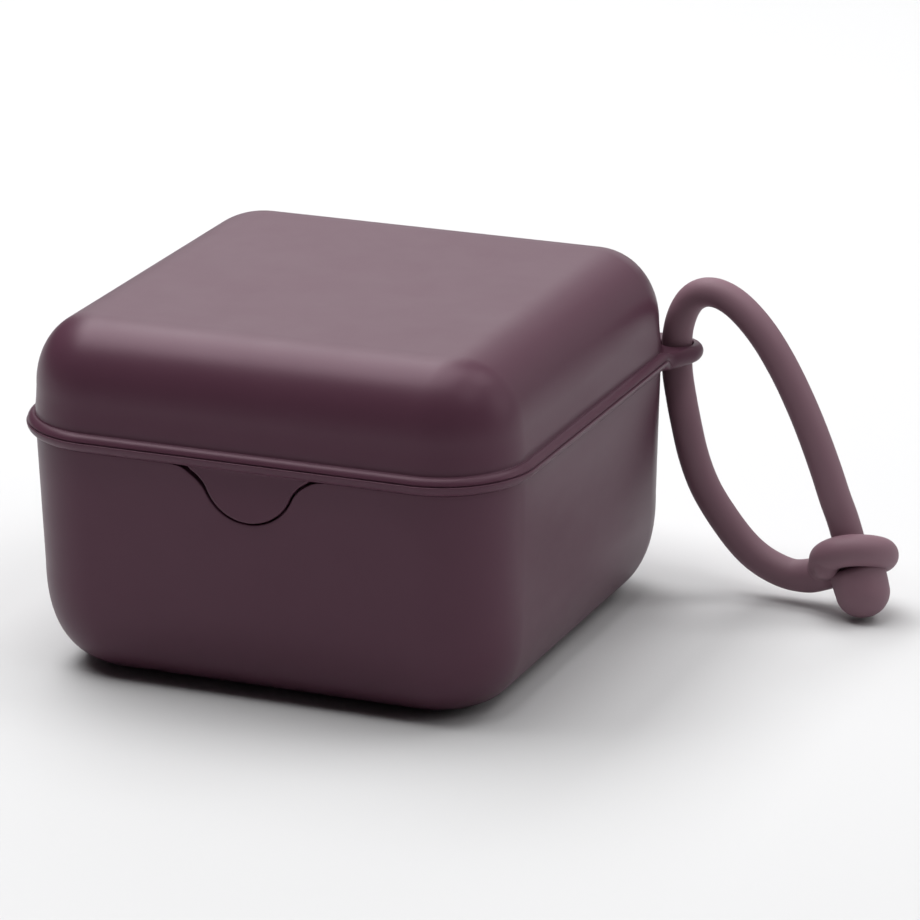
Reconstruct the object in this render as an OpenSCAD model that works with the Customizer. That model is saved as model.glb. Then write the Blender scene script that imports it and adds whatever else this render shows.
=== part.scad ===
// Pacifier sterilizer case: a rounded square box with a hinged lid, a
// lift-out steaming tray and a round rubber strap through an ear on the lid.
// Millimetres. +Z up, the front (with the thumb tab) faces -Y.
// The origin is the middle of the flat face that the box rests on.

/* [Case] */
// Width and depth of the box over its walls, at the parting line
case_w = 87; // [80:0.5:95]
// Height of the closed box
case_h = 61; // [58:0.5:66]
// Plan radius of the corners at the parting line
corner_r = 14.2; // [12:0.1:17]
// Height of the parting line between base and lid
part_z = 40.8; // [38:0.1:43]
// Wall thickness of the base
base_wall = 2; // [1.6:0.1:2.4]
// Wall thickness of the lid
lid_wall = 1.8; // [1.4:0.1:2.1]

/* [Edge rounding] */
// Lid: how far the top rounding reaches in from the wall
lid_round_x = 11.3; // [8:0.1:13]
// Lid: how far the top rounding reaches down from the roof
lid_round_z = 12.4; // [9:0.1:14]
// Lid: how much the wall leans in below the rounding
lid_lean = 0.3; // [0:0.1:0.6]
// Base: how far the bottom rounding reaches in from the wall
base_round_x = 11.6; // [8:0.1:13]
// Base: how far the bottom rounding reaches up from the floor
base_round_z = 18; // [14:0.5:20]
// Base: how much the wall leans in above the rounding
base_lean = 0.7; // [0:0.1:1]

/* [Rim] */
// Radius of the half-round bead round the lid's lower edge
bead_r = 1.6; // [1.2:0.05:1.6]
// How far the bead stands out of the lid wall
bead_out = 1.5; // [1:0.1:1.5]
// How deep the fine crease round the bead is
crease = 0.15; // [0.1:0.05:0.25]
// Height of the base's inner lip above the parting line
lip_h = 3; // [2:0.1:3.3]
// Gap between lid and lip, and round the thumb tab
rim_gap = 0.3; // [0.2:0.05:0.4]

/* [Thumb tab] */
// Radius of the rounded lower end of the tab
tab_r = 8; // [7:0.1:9]
// How far the tab hangs below the parting line
tab_drop = 8.6; // [7:0.1:9]
// Radius of the fillets where the tab flares into the rim
tab_fillet = 6.3; // [5:0.1:7]

/* [Hinge] */
// Outer radius of the hinge barrel
barrel_r = 2.6; // [2.4:0.1:3]
// Radius of the moulded hinge stubs
stub_r = 1.3; // [1.1:0.05:1.5]
// Radial clearance of the stubs in their bores
stub_gap = 0.08; // [0.04:0.01:0.1]
// Half length of the lid's barrel
barrel_half = 11.7; // [9:0.1:14]
// Length of each base knuckle
knuckle_len = 5; // [4:0.1:6]

/* [Tray] */
// Half width of the steaming tray
tray_half = 39.2; // [37:0.1:39.4]
// Height of the tray's upper face above the table
tray_z = 15; // [13:0.5:18]
// Thickness of the tray plate and its rim
tray_t = 1.6; // [1.2:0.1:2]
// Height of the tray's rim above its plate
tray_rim = 5; // [3:0.5:8]
// Radius of the steam holes
steam_r = 1.9; // [1.5:0.1:2.2]

/* [Strap] */
// Radius of the round strap
strap_r = 2.7; // [2.5:0.05:2.8]
// Radius of the hole through the ear
ear_hole_r = 3; // [3:0.05:3.1]
// Outer radius of the ear
ear_r = 4.6; // [4.5:0.1:5.2]
// Radius of the domed knob on the strap's end
ball_r = 4.75; // [4.4:0.05:4.75]

/* [Hidden] */

plum = [0.27, 0.18, 0.22];
plum_strap = [0.36, 0.27, 0.31];
plum_tray = [0.45, 0.35, 0.40];

half = case_w/2;
cc = half - corner_r;          // centre of each corner arc
open_gap = 0.1;                // half of the line between lid and base
lid_z = part_z + open_gap;     // lower edge of the lid's wall
ledge_z = part_z - open_gap;   // upper face of the base's wall
wall_top = part_z + 3.5;       // top of the lid's straight rim wall
lip_out = lid_wall + rim_gap;  // inset of the lip's outer face
lip_t = 1.4;                   // thickness of the lip
lip_in = lip_out + lip_t;      // inset of the lip's inner face
hy = half + 3.8;               // hinge axis
hz = part_z;
tab_x = 0.3;                   // middle of the thumb tab
eps = 0.02;

// Where the strap passes the ear
ear_x = 43.4;
ear_y = 40;
ear_z0 = 40.5;
ear_z1 = 43.3;

// Middle and axis of the eye ring, and middle and axis of the knob
ring_at = [77.6, 35.5, 10.1];
ring_tilt = 30;
ring_tilt_axis = [-47, -19, 0];
ring_mid_r = 4.95;
ring_tube_r = 2.75;
ball_at = [80, 33.3, 4.6];
ball_tilt = 26;
ball_tilt_axis = [-24, -36, 0];

// The strap's route, from inside the ear over the arch and down to the knob
upper_route = [
    [43.4, 40, 41.9], [43.4, 40, 43.6], [43.5, 40, 45.4], [44.1, 39.9, 47.7],
    [45.2, 39.8, 50.4], [47, 39.5, 52.5], [49.5, 39.2, 53.5], [52.1, 38.9, 53.2],
    [54.7, 38.6, 52], [57.3, 38.2, 50], [60, 37.9, 47.2], [62.2, 37.6, 44.3],
    [64.3, 37.4, 41], [66.3, 37.1, 37.5], [68.3, 36.8, 33.6], [70, 36.6, 29.8],
    [71.5, 36.4, 26.2], [72.9, 36.2, 22.6], [74.2, 36.3, 19.4], [75, 36.3, 17.2],
    [75.9, 35.9, 14.7], [77.1, 35.3, 11.8], [78.6, 34.3, 8.2], [79.8, 33.5, 5.2]
];
// The strap's route from inside the ear down and round to the ring
lower_route = [
    [43.4, 40, 41.9], [43.4, 40, 39.6], [43.7, 39.6, 37.4], [44.6, 38.6, 34.8],
    [45.6, 37.6, 31.7], [46.4, 37.4, 28.5], [47.1, 37.3, 25.5], [48.1, 37.4, 22.2],
    [49.5, 37.5, 18.7], [51.4, 37.6, 15.5], [53.4, 37.7, 12.7], [55.5, 37.7, 10.1],
    [58, 37.6, 7.7], [60.7, 37.5, 6], [63.7, 37.3, 4.9], [66.6, 37, 4.5],
    [69, 36.8, 4.8], [71.1, 36.5, 5.4], [72.9, 36.3, 6.2], [74.2, 36, 7.1]
];

// ---------- shared outlines ----------

// Squared ellipse: share of the inset and of the rise at angle t
function se_x(t, n) = 1 - pow(cos(t), 2/n);
function se_z(t, n) = pow(sin(t), 2/n);

// Rounded square, exact arcs
module rsq(h, r) {
    square([2*h, 2*(h - r)], center = true);
    square([2*(h - r), 2*h], center = true);
    for (sx = [-1, 1], sy = [-1, 1])
        translate([sx*(h - r), sy*(h - r)]) circle(r = r, $fn = 96);
}

// Four thin discs at the corners of one level of a blended shell
module level(h, r, z) {
    for (sx = [-1, 1], sy = [-1, 1])
        translate([sx*(h - r), sy*(h - r), z]) cylinder(r = r, h = eps, $fn = 40);
}

// Sweeps a flat profile round the case; x = 0 is the corner arc's centre
module round_the_case() {
    for (a = [0:90:270]) rotate([0, 0, a]) {
        translate([cc, cc, 0]) rotate_extrude(angle = 90, $fn = 96) children();
        translate([cc, cc, 0]) rotate([90, 0, 0]) linear_extrude(2*cc) children();
    }
}

// Outline of the thumb tab in the front face, grown by g
module tab_outline(g = 0) {
    cz = part_z - tab_drop + tab_r;
    // half width where the fillets meet the parting line
    w = sqrt(pow(tab_r + tab_fillet, 2) - pow(part_z - tab_fillet - cz, 2));
    fz = part_z - tab_fillet;
    k = tab_r/(tab_r + tab_fillet);
    tz = cz + (fz - cz)*k;
    translate([tab_x, 0]) {
        intersection() {
            translate([0, cz]) circle(r = tab_r + g, $fn = 96);
            translate([-20, cz - 20]) square([40, part_z + 0.5 - cz + 20]);
        }
        difference() {
            translate([-w, tz - g]) square([2*w, part_z + 0.5 - tz + g]);
            for (s = [-1, 1]) translate([s*w, fz]) circle(r = tab_fillet - g, $fn = 96);
        }
    }
}

// ---------- base ----------

module base_outer() {
    hull() {
        level(half, corner_r, ledge_z - eps);
        for (t = [0, 12, 24, 36, 48, 60, 70, 80, 90])
            let (i = base_lean + base_round_x*se_x(t, 2.46))
                level(half - i, corner_r - 0.64*i, base_round_z*(1 - se_z(t, 2.46)));
    }
}

module base_inner() {
    w = base_wall;
    hull() {
        level(half - w, corner_r - w, 36.5);
        for (t = [0, 15, 30, 45, 60, 75, 90])
            let (i = base_lean + (base_round_x - 1.8)*se_x(t, 2.46))
                level(half - w - i, corner_r - w - 0.64*i, w + (base_round_z - w)*(1 - se_z(t, 2.46)));
    }
    // the rim is thicker inwards, so that the lip can stand on it
    hull() {
        level(half - w - 0.05, corner_r - w, 36);
        level(half - lip_in, corner_r - lip_in, 38);
    }
    translate([0, 0, 37.9]) linear_extrude(10) rsq(half - lip_in, corner_r - lip_in);
}

module base_knuckle() {
    difference() {
        union() {
            translate([0, hy, hz]) rotate([0, 90, 0]) cylinder(r = barrel_r, h = knuckle_len, $fn = 64);
            translate([0, 0, 0]) rotate([90, 0, 90]) linear_extrude(knuckle_len)
                polygon([[half - 0.8, 33.5], [half - 0.8, hz - 0.35], [hy - 2, hz - 0.35],
                         [hy, hz], [hy + 1.84, hz - 1.84], [half + 0.6, 33.5]]);
        }
        translate([-1, hy, hz]) rotate([0, 90, 0]) cylinder(r = stub_r + stub_gap, h = knuckle_len + 2, $fn = 64);
    }
}

module base_shell() {
    color(plum) {
        difference() {
            union() {
                base_outer();
                // lip that the lid closes over
                translate([0, 0, ledge_z - 1])
                    linear_extrude(lip_h + 1) rsq(half - lip_out, corner_r - lip_out);
            }
            base_inner();
            // recess for the thumb tab
            translate([0, -half + lip_out + 0.05, 0]) rotate([90, 0, 0])
                linear_extrude(6) tab_outline(rim_gap + 0.05);
        }
        // wall behind the recess
        intersection() {
            translate([tab_x - 11.5, -half + lip_out + 0.05, 29.5]) cube([23, lip_t, 9]);
            hull() {
                translate([tab_x - 11.5, -half + lip_out, 31]) cube([23, 4, 9]);
                translate([tab_x - 9, -half + lip_out - 1.4, 29.6]) cube([18, 1.3, 1]);
            }
        }
        for (s = [0, 1]) mirror([s, 0, 0]) translate([barrel_half + 0.3, 0, 0]) base_knuckle();
    }
}

// ---------- lid ----------

module lid_outer() {
    hull() {
        level(half, corner_r, wall_top - 0.3);
        for (t = [0, 12, 24, 36, 48, 60, 70, 80, 90])
            let (i = lid_lean + lid_round_x*se_x(t, 2.08))
                level(half - i, max(0.6, corner_r - 1.17*i),
                      case_h - lid_round_z + (lid_round_z - eps)*se_z(t, 2.08));
    }
}

module lid_inner() {
    w = lid_wall;
    hull() {
        level(half - w, corner_r - w, wall_top - 0.5);
        for (t = [0, 15, 30, 45, 60, 75, 90])
            let (i = lid_lean + (lid_round_x - w)*se_x(t, 2.08))
                level(half - w - i, max(0.8, corner_r - w - 1.17*i),
                      case_h - lid_round_z + (lid_round_z - w - eps)*se_z(t, 2.08));
    }
    translate([0, 0, lid_z - 1]) linear_extrude(wall_top - lid_z + 0.8) rsq(half - w, corner_r - w);
}

// Half-round bead that starts at the lid's lower edge, with a fine crease above its middle
module rim_profile() {
    difference() {
        union() {
            translate([corner_r + bead_out - bead_r, lid_z + bead_r]) circle(r = bead_r, $fn = 48);
            translate([corner_r - 1, lid_z]) square([0.9, 2*bead_r]);
        }
        translate([corner_r + bead_out - crease, lid_z + bead_r + 0.15]) polygon([[0, 0.1], [0.4, -0.05], [0.4, 0.35], [0, 0.2]]);
    }
}

// Room in the bead for the base's knuckles
module knuckle_room() {
    for (s = [0, 1]) mirror([s, 0, 0])
        translate([barrel_half + 0.05, half + 0.6, lid_z - 1]) cube([knuckle_len + 0.6, 3, 5]);
}

// Plan of the ear: a round end on a neck that flares into the rim
module ear_plan() {
    translate([ear_x, ear_y]) circle(r = ear_r, $fn = 96);
    polygon([[47.6, 38.1], [44.6, 31.7], [43, 31], [35, 42.6], [35.7, 43.6], [42.6, 44.5]]);
}

module lid_barrel() {
    translate([-barrel_half, hy, hz]) rotate([0, 90, 0]) cylinder(r = barrel_r, h = 2*barrel_half, $fn = 64);
    translate([-barrel_half, 0, 0]) rotate([90, 0, 90]) linear_extrude(2*barrel_half)
        polygon([[half - 0.9, lid_z], [half - 0.9, part_z + 3.2], [half + 1.8, part_z + 3.2],
                 [hy + 1.3, hz + 2.25], [hy, hz], [hy - 1.5, lid_z]]);
    translate([-barrel_half - knuckle_len, hy, hz]) rotate([0, 90, 0])
        cylinder(r = stub_r, h = 2*(barrel_half + knuckle_len), $fn = 64);
}

module lid_shell() {
    color(plum) {
        difference() {
            union() {
                lid_outer();
                translate([0, 0, lid_z]) linear_extrude(wall_top - lid_z) rsq(half, corner_r);
                difference() {
                    round_the_case() rim_profile();
                    knuckle_room();
                }
                translate([0, 0, ear_z0]) linear_extrude(ear_z1 - ear_z0) difference() {
                    ear_plan();
                    // the ear starts outside the base's wall
                    rsq(half + 0.15, corner_r + 0.15);
                }
                translate([0, 0, lid_z]) linear_extrude(ear_z1 - lid_z) ear_plan();
            }
            lid_inner();
            translate([ear_x, ear_y, ear_z0 - 2]) cylinder(r = ear_hole_r, h = 9, $fn = 64);
        }
        // thumb tab
        translate([0, -half + lid_wall, 0]) rotate([90, 0, 0]) linear_extrude(lid_wall) tab_outline();
        lid_barrel();
    }
}

// ---------- tray ----------

module insert_tray() {
    r = corner_r - (half - tray_half);
    pitch = 6.6;
    color(plum_tray) difference() {
        union() {
            // plate and upturned rim
            translate([0, 0, tray_z - tray_t]) linear_extrude(tray_t) rsq(tray_half, r);
            translate([0, 0, tray_z - tray_t]) linear_extrude(tray_t + tray_rim) difference() {
                rsq(tray_half, r);
                rsq(tray_half - tray_t, r - tray_t);
            }
            // feet that stand on the floor of the base
            for (sx = [-1, 1], sy = [-1, 1]) translate([sx*24, sy*24, base_wall + 0.05])
                cylinder(r = 3, h = tray_z - base_wall - 1, $fn = 48);
            // low ribs that keep the pacifiers apart
            for (a = [0, 90]) rotate([0, 0, a])
                translate([-tray_half + 0.5, -0.7, tray_z - 0.5]) cube([2*tray_half - 1, 1.4, 3.5]);
            // finger grip
            translate([-7, -0.9, tray_z - 0.5]) cube([14, 1.8, 8.5]);
            translate([-7, 0, tray_z + 8]) rotate([0, 90, 0]) cylinder(r = 1.5, h = 14, $fn = 32);
        }
        // steam holes
        for (i = [-5:5], j = [-5:5])
            if (i != 0 && j != 0 && !(abs(i) == 5 && abs(j) == 5))
                translate([i*pitch - sign(i)*1.2, j*pitch - sign(j)*1.2, tray_z - 3])
                    cylinder(r = steam_r, h = 5, $fn = 32);
    }
}

// ---------- strap ----------

function unit(v) = v/norm(v);
// Direction of a route at point i
function dir(p, i) = unit(p[min(i + 1, len(p) - 1)] - p[max(i - 1, 0)]);

// Round tube along a route, n sides; the sections keep their turn along it
module tube(p, r, n = 10) {
    m = len(p);
    pts = [for (i = [0:m - 1]) let (d = dir(p, i), b = unit(cross([0.126, 0.992, 0], d)), c = cross(d, b))
        for (k = [0:n - 1]) let (a = 360*k/n) p[i] + r*(cos(a)*b + sin(a)*c)];
    faces = concat(
        [[for (k = [0:n - 1]) k]],
        [for (i = [0:m - 2], k = [0:n - 1]) [i*n + k, (i + 1)*n + k, (i + 1)*n + (k + 1)%n, i*n + (k + 1)%n]],
        [[for (k = [0:n - 1]) (m - 1)*n + n - 1 - k]]);
    polyhedron(points = pts, faces = faces, convexity = 6);
}

module strap_upper() { color(plum_strap) tube(upper_route, strap_r); }
module strap_lower() { color(plum_strap) tube(lower_route, strap_r); }

module strap_ring() {
    color(plum_strap) translate(ring_at) rotate(a = ring_tilt, v = ring_tilt_axis)
        rotate_extrude($fn = 64) translate([ring_mid_r, 0]) circle(r = ring_tube_r, $fn = 48);
}

// Domed knob whose shoulder rests against the ring
module strap_ball() {
    color(plum_strap) translate(ball_at) rotate(a = ball_tilt, v = ball_tilt_axis) {
        sphere(r = ball_r - 0.25, $fn = 64);
        cylinder(r = ball_r, h = 2, $fn = 64);
        translate([0, 0, 2]) cylinder(r1 = ball_r, r2 = ball_r - 1.75, h = 1.2, $fn = 64);
    }
}

base_shell();
lid_shell();
insert_tray();
strap_upper();
strap_lower();
strap_ring();
strap_ball();
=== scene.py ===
"""Pacifier sterilizer case: the looks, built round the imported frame. Lengths in the helpers are millimetres."""
import math

import bmesh
import bpy
import numpy as np
from mathutils import Matrix, Vector


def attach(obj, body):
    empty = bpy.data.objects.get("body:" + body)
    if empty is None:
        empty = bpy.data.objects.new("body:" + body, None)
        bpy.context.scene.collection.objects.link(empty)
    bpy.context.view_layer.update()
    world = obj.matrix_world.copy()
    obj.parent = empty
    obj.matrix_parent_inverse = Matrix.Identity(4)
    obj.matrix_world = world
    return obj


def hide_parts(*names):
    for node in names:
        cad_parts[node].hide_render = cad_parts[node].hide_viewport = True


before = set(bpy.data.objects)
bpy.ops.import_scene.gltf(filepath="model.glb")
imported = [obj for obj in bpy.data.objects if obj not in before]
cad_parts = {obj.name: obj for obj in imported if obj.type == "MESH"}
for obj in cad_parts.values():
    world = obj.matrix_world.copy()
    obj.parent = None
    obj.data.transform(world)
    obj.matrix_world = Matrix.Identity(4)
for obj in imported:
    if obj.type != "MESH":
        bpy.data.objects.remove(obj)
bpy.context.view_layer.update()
scene = bpy.context.scene
MM = 0.001
rad = math.radians

# ------------------------------------------------------------------ camera

cam_data = bpy.data.cameras.new("camera")
cam_data.sensor_width = 36
cam_data.sensor_fit = "HORIZONTAL"
cam_data.lens = 211.149
cam_data.clip_start, cam_data.clip_end = 0.05, 30
cam = bpy.data.objects.new("camera", cam_data)
scene.collection.objects.link(cam)
right = (0.92234777, 0.38624609, -0.00941012)
up = (-0.11655996, 0.30139867, 0.94634699)
back = (0.36835902, -0.87176419, 0.32301522)
place = (0.3544186, -0.7928018, 0.3253542)
cam.matrix_world = Matrix([[right[k], up[k], back[k], place[k]] for k in range(3)] + [[0, 0, 0, 1]])
scene.camera = cam

# ------------------------------------------------------------------ mesh helpers


def add_mesh(name, verts, faces, sharp=38.0, smooth=True):
    """A new mesh object from millimetre points, shaded smooth with edges sharper than `sharp` degrees kept crisp."""
    me = bpy.data.meshes.new(name)
    me.from_pydata([tuple(float(c) * MM for c in v) for v in verts], [], [tuple(int(i) for i in f) for f in faces])
    me.validate()
    ob = bpy.data.objects.new(name, me)
    scene.collection.objects.link(ob)
    finish_mesh(ob, sharp, smooth)
    return ob


def finish_mesh(ob, sharp=38.0, smooth=True):
    me = ob.data
    if smooth:
        me.shade_smooth()
        me.set_sharp_from_angle(angle=rad(sharp))
    me.update()


def loft(rings, cap_start=True, cap_end=True):
    """Points and quads of closed rings joined one to the next, each ring an (n, 3) array, counterclockwise seen against the way they go."""
    rings = [np.asarray(r, float) for r in rings]
    n = len(rings[0])
    verts = np.vstack(rings)
    faces = []
    for i in range(len(rings) - 1):
        a, b = i * n, (i + 1) * n
        for k in range(n):
            j = (k + 1) % n
            faces.append((a + k, a + j, b + j, b + k))
    if cap_start:
        faces.append(tuple(range(n - 1, -1, -1)))
    if cap_end:
        a = (len(rings) - 1) * n
        faces.append(tuple(a + k for k in range(n)))
    return verts, faces


def boolean(ob, other, how):
    m = ob.modifiers.new("cut", "BOOLEAN")
    m.operation = how
    m.solver = "EXACT"
    m.object = other
    dg = bpy.context.evaluated_depsgraph_get()
    dg.update()
    new = bpy.data.meshes.new_from_object(ob.evaluated_get(dg), depsgraph=dg)
    ob.modifiers.clear()
    old = ob.data
    ob.data = new
    bpy.data.meshes.remove(old)
    bpy.data.objects.remove(other)


def split_ngons(ob):
    """Faces with more than four corners become triangles that fit edge to edge."""
    bm = bmesh.new()
    bm.from_mesh(ob.data)
    bmesh.ops.triangulate(bm, faces=[f for f in bm.faces if len(f.verts) > 4], ngon_method="BEAUTY")
    bm.to_mesh(ob.data)
    bm.free()


def revolve(profile, centre=(0, 0, 0), axis="Z", n=48, closed_ends=True):
    """Solid of revolution from (radius, height) pairs."""
    rings = []
    for r, h in profile:
        a = np.linspace(0, 2 * math.pi, n, endpoint=False)
        x, y, z = r * np.cos(a), r * np.sin(a), np.full(n, h)
        p = np.stack([x, y, z], 1) if axis == "Z" else np.stack([z, x, y], 1)
        rings.append(p + np.array(centre))
    return loft(rings, closed_ends, closed_ends)


def smoothstep(x):
    x = np.clip(x, 0, 1)
    return x * x * (3 - 2 * x)


def arc(cx, cy, r, a0, a1, n):
    """n points on an arc, angles in degrees."""
    return [(cx + r * math.cos(rad(a)), cy + r * math.sin(rad(a))) for a in np.linspace(a0, a1, n)]


# ------------------------------------------------------------------ the strap: cords first

UPPER = [
    (43.4, 40, 41.9), (43.4, 40, 43.6), (43.5, 40, 45.4), (44.1, 39.9, 47.7),
    (45.2, 39.8, 50.4), (47, 39.5, 52.5), (49.5, 39.2, 53.5), (52.1, 38.9, 53.2),
    (54.7, 38.6, 52), (57.3, 38.2, 50), (60, 37.9, 47.2), (62.2, 37.6, 44.3),
    (64.3, 37.4, 41), (66.3, 37.1, 37.5), (68.3, 36.8, 33.6), (70, 36.6, 29.8),
    (71.5, 36.4, 26.2), (72.9, 36.2, 22.6), (74.2, 36, 19), (75.3, 35.9, 15.6),
    (76.4, 35.7, 12.9), (77.7, 35.2, 10.2), (79, 34.2, 7.4), (80, 33.3, 4.8),
]
LOWER = [
    (43.4, 40, 41.9), (43.4, 40, 39.6), (43.7, 39.6, 37.4), (44.6, 38.6, 34.8),
    (45.6, 37.6, 31.7), (46.4, 37.4, 28.5), (47.1, 37.3, 25.5), (48.1, 37.4, 22.2),
    (49.5, 37.5, 18.7), (51.4, 37.6, 15.5), (53.4, 37.7, 12.7), (55.5, 37.7, 10.1),
    (58, 37.6, 7.7), (60.7, 37.5, 6), (63.7, 37.3, 4.9), (66.6, 37, 4.4),
    (69.3, 36.8, 4.7), (71.4, 36.5, 5.7), (72.6, 36.2, 7.2),
]
RING_AT = np.array([77.6, 35.5, 10.15])
RING_MID, RING_TUBE = 4.96, 2.76
SIDE, RISE, NEAR = np.array(right), np.array(up), np.array(back)


def by_eye(u, w, b):
    """A point near the eye ring: u to the side, w up and b towards the front from the ring's middle."""
    return RING_AT + u * SIDE + w * RISE + b * NEAR


BALL_AT = by_eye(1.46, -6.22, 1.0)
UPPER = UPPER[:-5] + [tuple(by_eye(*q)) for q in ((-2.2, 7.2, 0.62), (-1.45, 4.6, 0.5), (-0.6, 1.6, 0.55), (0.45, -2.3, 0.75), (1.3, -5.6, 0.97))]
LOWER = LOWER[:-3] + [tuple(by_eye(*q)) for q in ((-7.4, -3.66, -6.0), (-5.6, -3.42, -4.8), (-4.0, -2.95, -3.7), (-2.9, -2.3, -2.7))]


def spline(points, step=0.6, soften=1.6):
    """A dense, softened curve through route points: Catmull-Rom, then a Gaussian along its length, ends held."""
    p = np.array(points, float)
    p = np.vstack([2 * p[0] - p[1], p, 2 * p[-1] - p[-2]])
    out = []
    for i in range(1, len(p) - 2):
        for t in np.linspace(0, 1, 20, endpoint=False):
            a, b, c, d = p[i - 1], p[i], p[i + 1], p[i + 2]
            out.append(0.5 * (2 * b + (c - a) * t + (2 * a - 5 * b + 4 * c - d) * t * t + (3 * b - a - 3 * c + d) * t ** 3))
    out.append(p[-2])
    out = resample(np.array(out), 0.25)
    s = soften / 0.25
    k = np.arange(-int(3 * s), int(3 * s) + 1)
    g = np.exp(-0.5 * (k / s) ** 2)
    g /= g.sum()
    n = len(k) // 2
    head = 2 * out[0] - out[n:0:-1]
    tail = 2 * out[-1] - out[-2:-n - 2:-1]
    long = np.vstack([head, out, tail])
    soft = np.stack([np.convolve(long[:, c], g, "valid") for c in range(3)], 1)
    return resample(soft, step)


def resample(p, step):
    d = np.concatenate([[0], np.cumsum(np.linalg.norm(np.diff(p, axis=0), axis=1))])
    n = max(2, int(round(d[-1] / step)) + 1)
    s = np.linspace(0, d[-1], n)
    return np.stack([np.interp(s, d, p[:, c]) for c in range(3)], 1)


def tube(name, path, radius, sides=36):
    """Round tube along a dense path, radius(share of length) in mm, its ends closed flat."""
    path = np.asarray(path, float)
    t = np.gradient(path, axis=0)
    t /= np.linalg.norm(t, axis=1)[:, None]
    level = np.array([0.126, 0.992, 0.0])
    rings = []
    m = len(path)
    for i in range(m):
        b = np.cross(level, t[i])
        b /= np.linalg.norm(b)
        c = np.cross(t[i], b)
        a = np.linspace(0, 2 * math.pi, sides, endpoint=False)[:, None]
        r = radius(i / (m - 1))
        rings.append(path[i] + r * (np.cos(a) * b + np.sin(a) * c))
    v, f = loft(rings)
    return add_mesh(name, v, f, sharp=60)


upper_path = spline(UPPER)
lower_path = spline(LOWER)


def upper_radius(s):
    # a little thinner over the tight arch, thicker towards the ball
    return 2.66 - 0.12 * math.exp(-((s - 0.17) / 0.12) ** 2) + 0.12 * float(smoothstep(np.array((s - 0.45) / 0.45)))


def lower_radius(s):
    return 2.66 + 0.10 * float(smoothstep(np.array((s - 0.3) / 0.6)))


strap_top = tube("strap_upper_strand", upper_path, upper_radius)
strap_low = tube("strap_lower_strand", lower_path, lower_radius)

# eye ring: a thick ring, its front side raised, that sags where the lower strand runs into it
EYE_TILT = 11.4
RING_V = math.cos(rad(EYE_TILT)) * NEAR + math.sin(rad(EYE_TILT)) * RISE
RING_N = np.cross(SIDE, RING_V)
RING_N = RING_N if RING_N[2] > 0 else -RING_N


def ring_mesh(n=112, m=44):
    rings = []
    for i in range(n):
        a = 2 * math.pi * i / n
        off = math.degrees(math.atan2(math.sin(a - math.pi), math.cos(a - math.pi)))
        sag = 0.62 * math.exp(-(off / 48.0) ** 2)
        e = math.cos(a) * SIDE + math.sin(a) * RING_V
        mid = RING_AT + RING_MID * e - sag * RISE
        bb = np.linspace(0, 2 * math.pi, m, endpoint=False)[:, None]
        rings.append(mid + RING_TUBE * (np.cos(bb) * e + np.sin(bb) * RING_N))
    verts = np.vstack(rings)
    faces = []
    for i in range(n):
        for k in range(m):
            p, q = i * m, ((i + 1) % n) * m
            j = (k + 1) % m
            faces.append((p + k, q + k, q + j, p + j))
    return verts, faces


def bead_chain(points, radii, sides=36):
    """A closed tube with domed ends through a few points."""
    path = spline(points, 0.35, 0.5)
    t = np.gradient(path, axis=0)
    t /= np.linalg.norm(t, axis=1)[:, None]
    d = np.linspace(0, 1, len(path))
    r = np.interp(d, np.linspace(0, 1, len(radii)), radii)
    level = np.array([0.3, 0.2, 0.93])
    rings = []
    for i in range(len(path)):
        b = np.cross(level, t[i])
        b /= np.linalg.norm(b)
        c = np.cross(t[i], b)
        a = np.linspace(0, 2 * math.pi, sides, endpoint=False)[:, None]
        ring = np.cos(a) * b + np.sin(a) * c
        if i == 0:
            for q in (84, 66, 48, 32, 16):
                rings.append(path[0] - t[0] * r[0] * math.sin(rad(q)) + r[0] * math.cos(rad(q)) * ring)
        rings.append(path[i] + r[i] * ring)
        if i == len(path) - 1:
            for q in (16, 32, 48, 66, 84):
                rings.append(path[i] + t[i] * r[i] * math.sin(rad(q)) + r[i] * math.cos(rad(q)) * ring)
    return loft(rings)


def melt(name, parts, voxel, passes):
    """Closed meshes grown together into one skin, with their joints softened."""
    vv, ff = [], []
    for v, f in parts:
        ff += [tuple(int(i) + len(vv) for i in face) for face in f]
        vv += [tuple(p) for p in v]
    ob = add_mesh(name, vv, ff, smooth=False)
    m = ob.modifiers.new("skin", "REMESH")
    m.mode = "VOXEL"
    m.voxel_size = voxel * MM
    m = ob.modifiers.new("soften", "SMOOTH")
    m.factor = 0.5
    m.iterations = passes
    dg = bpy.context.evaluated_depsgraph_get()
    dg.update()
    new = bpy.data.meshes.new_from_object(ob.evaluated_get(dg), depsgraph=dg)
    ob.modifiers.clear()
    old = ob.data
    ob.data = new
    bpy.data.meshes.remove(old)
    ob.data.shade_smooth()
    return ob


lobe = bead_chain([by_eye(-4.65, -1.45, 1.5), by_eye(-5.0, -1.5, -0.2), by_eye(-5.1, -1.9, -2.0), by_eye(-4.6, -2.5, -3.6)],
                  [2.62, 2.66, 2.7, 2.6])
collar = bead_chain([tuple(lower_path[-22]), tuple(lower_path[-16]), tuple(lower_path[-10]), tuple(lower_path[-4])],
                    [2.35, 2.72, 3.0, 3.0])
strap_ring = melt("strap_eye_ring", [ring_mesh(), lobe, collar], 0.17, 9)


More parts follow.
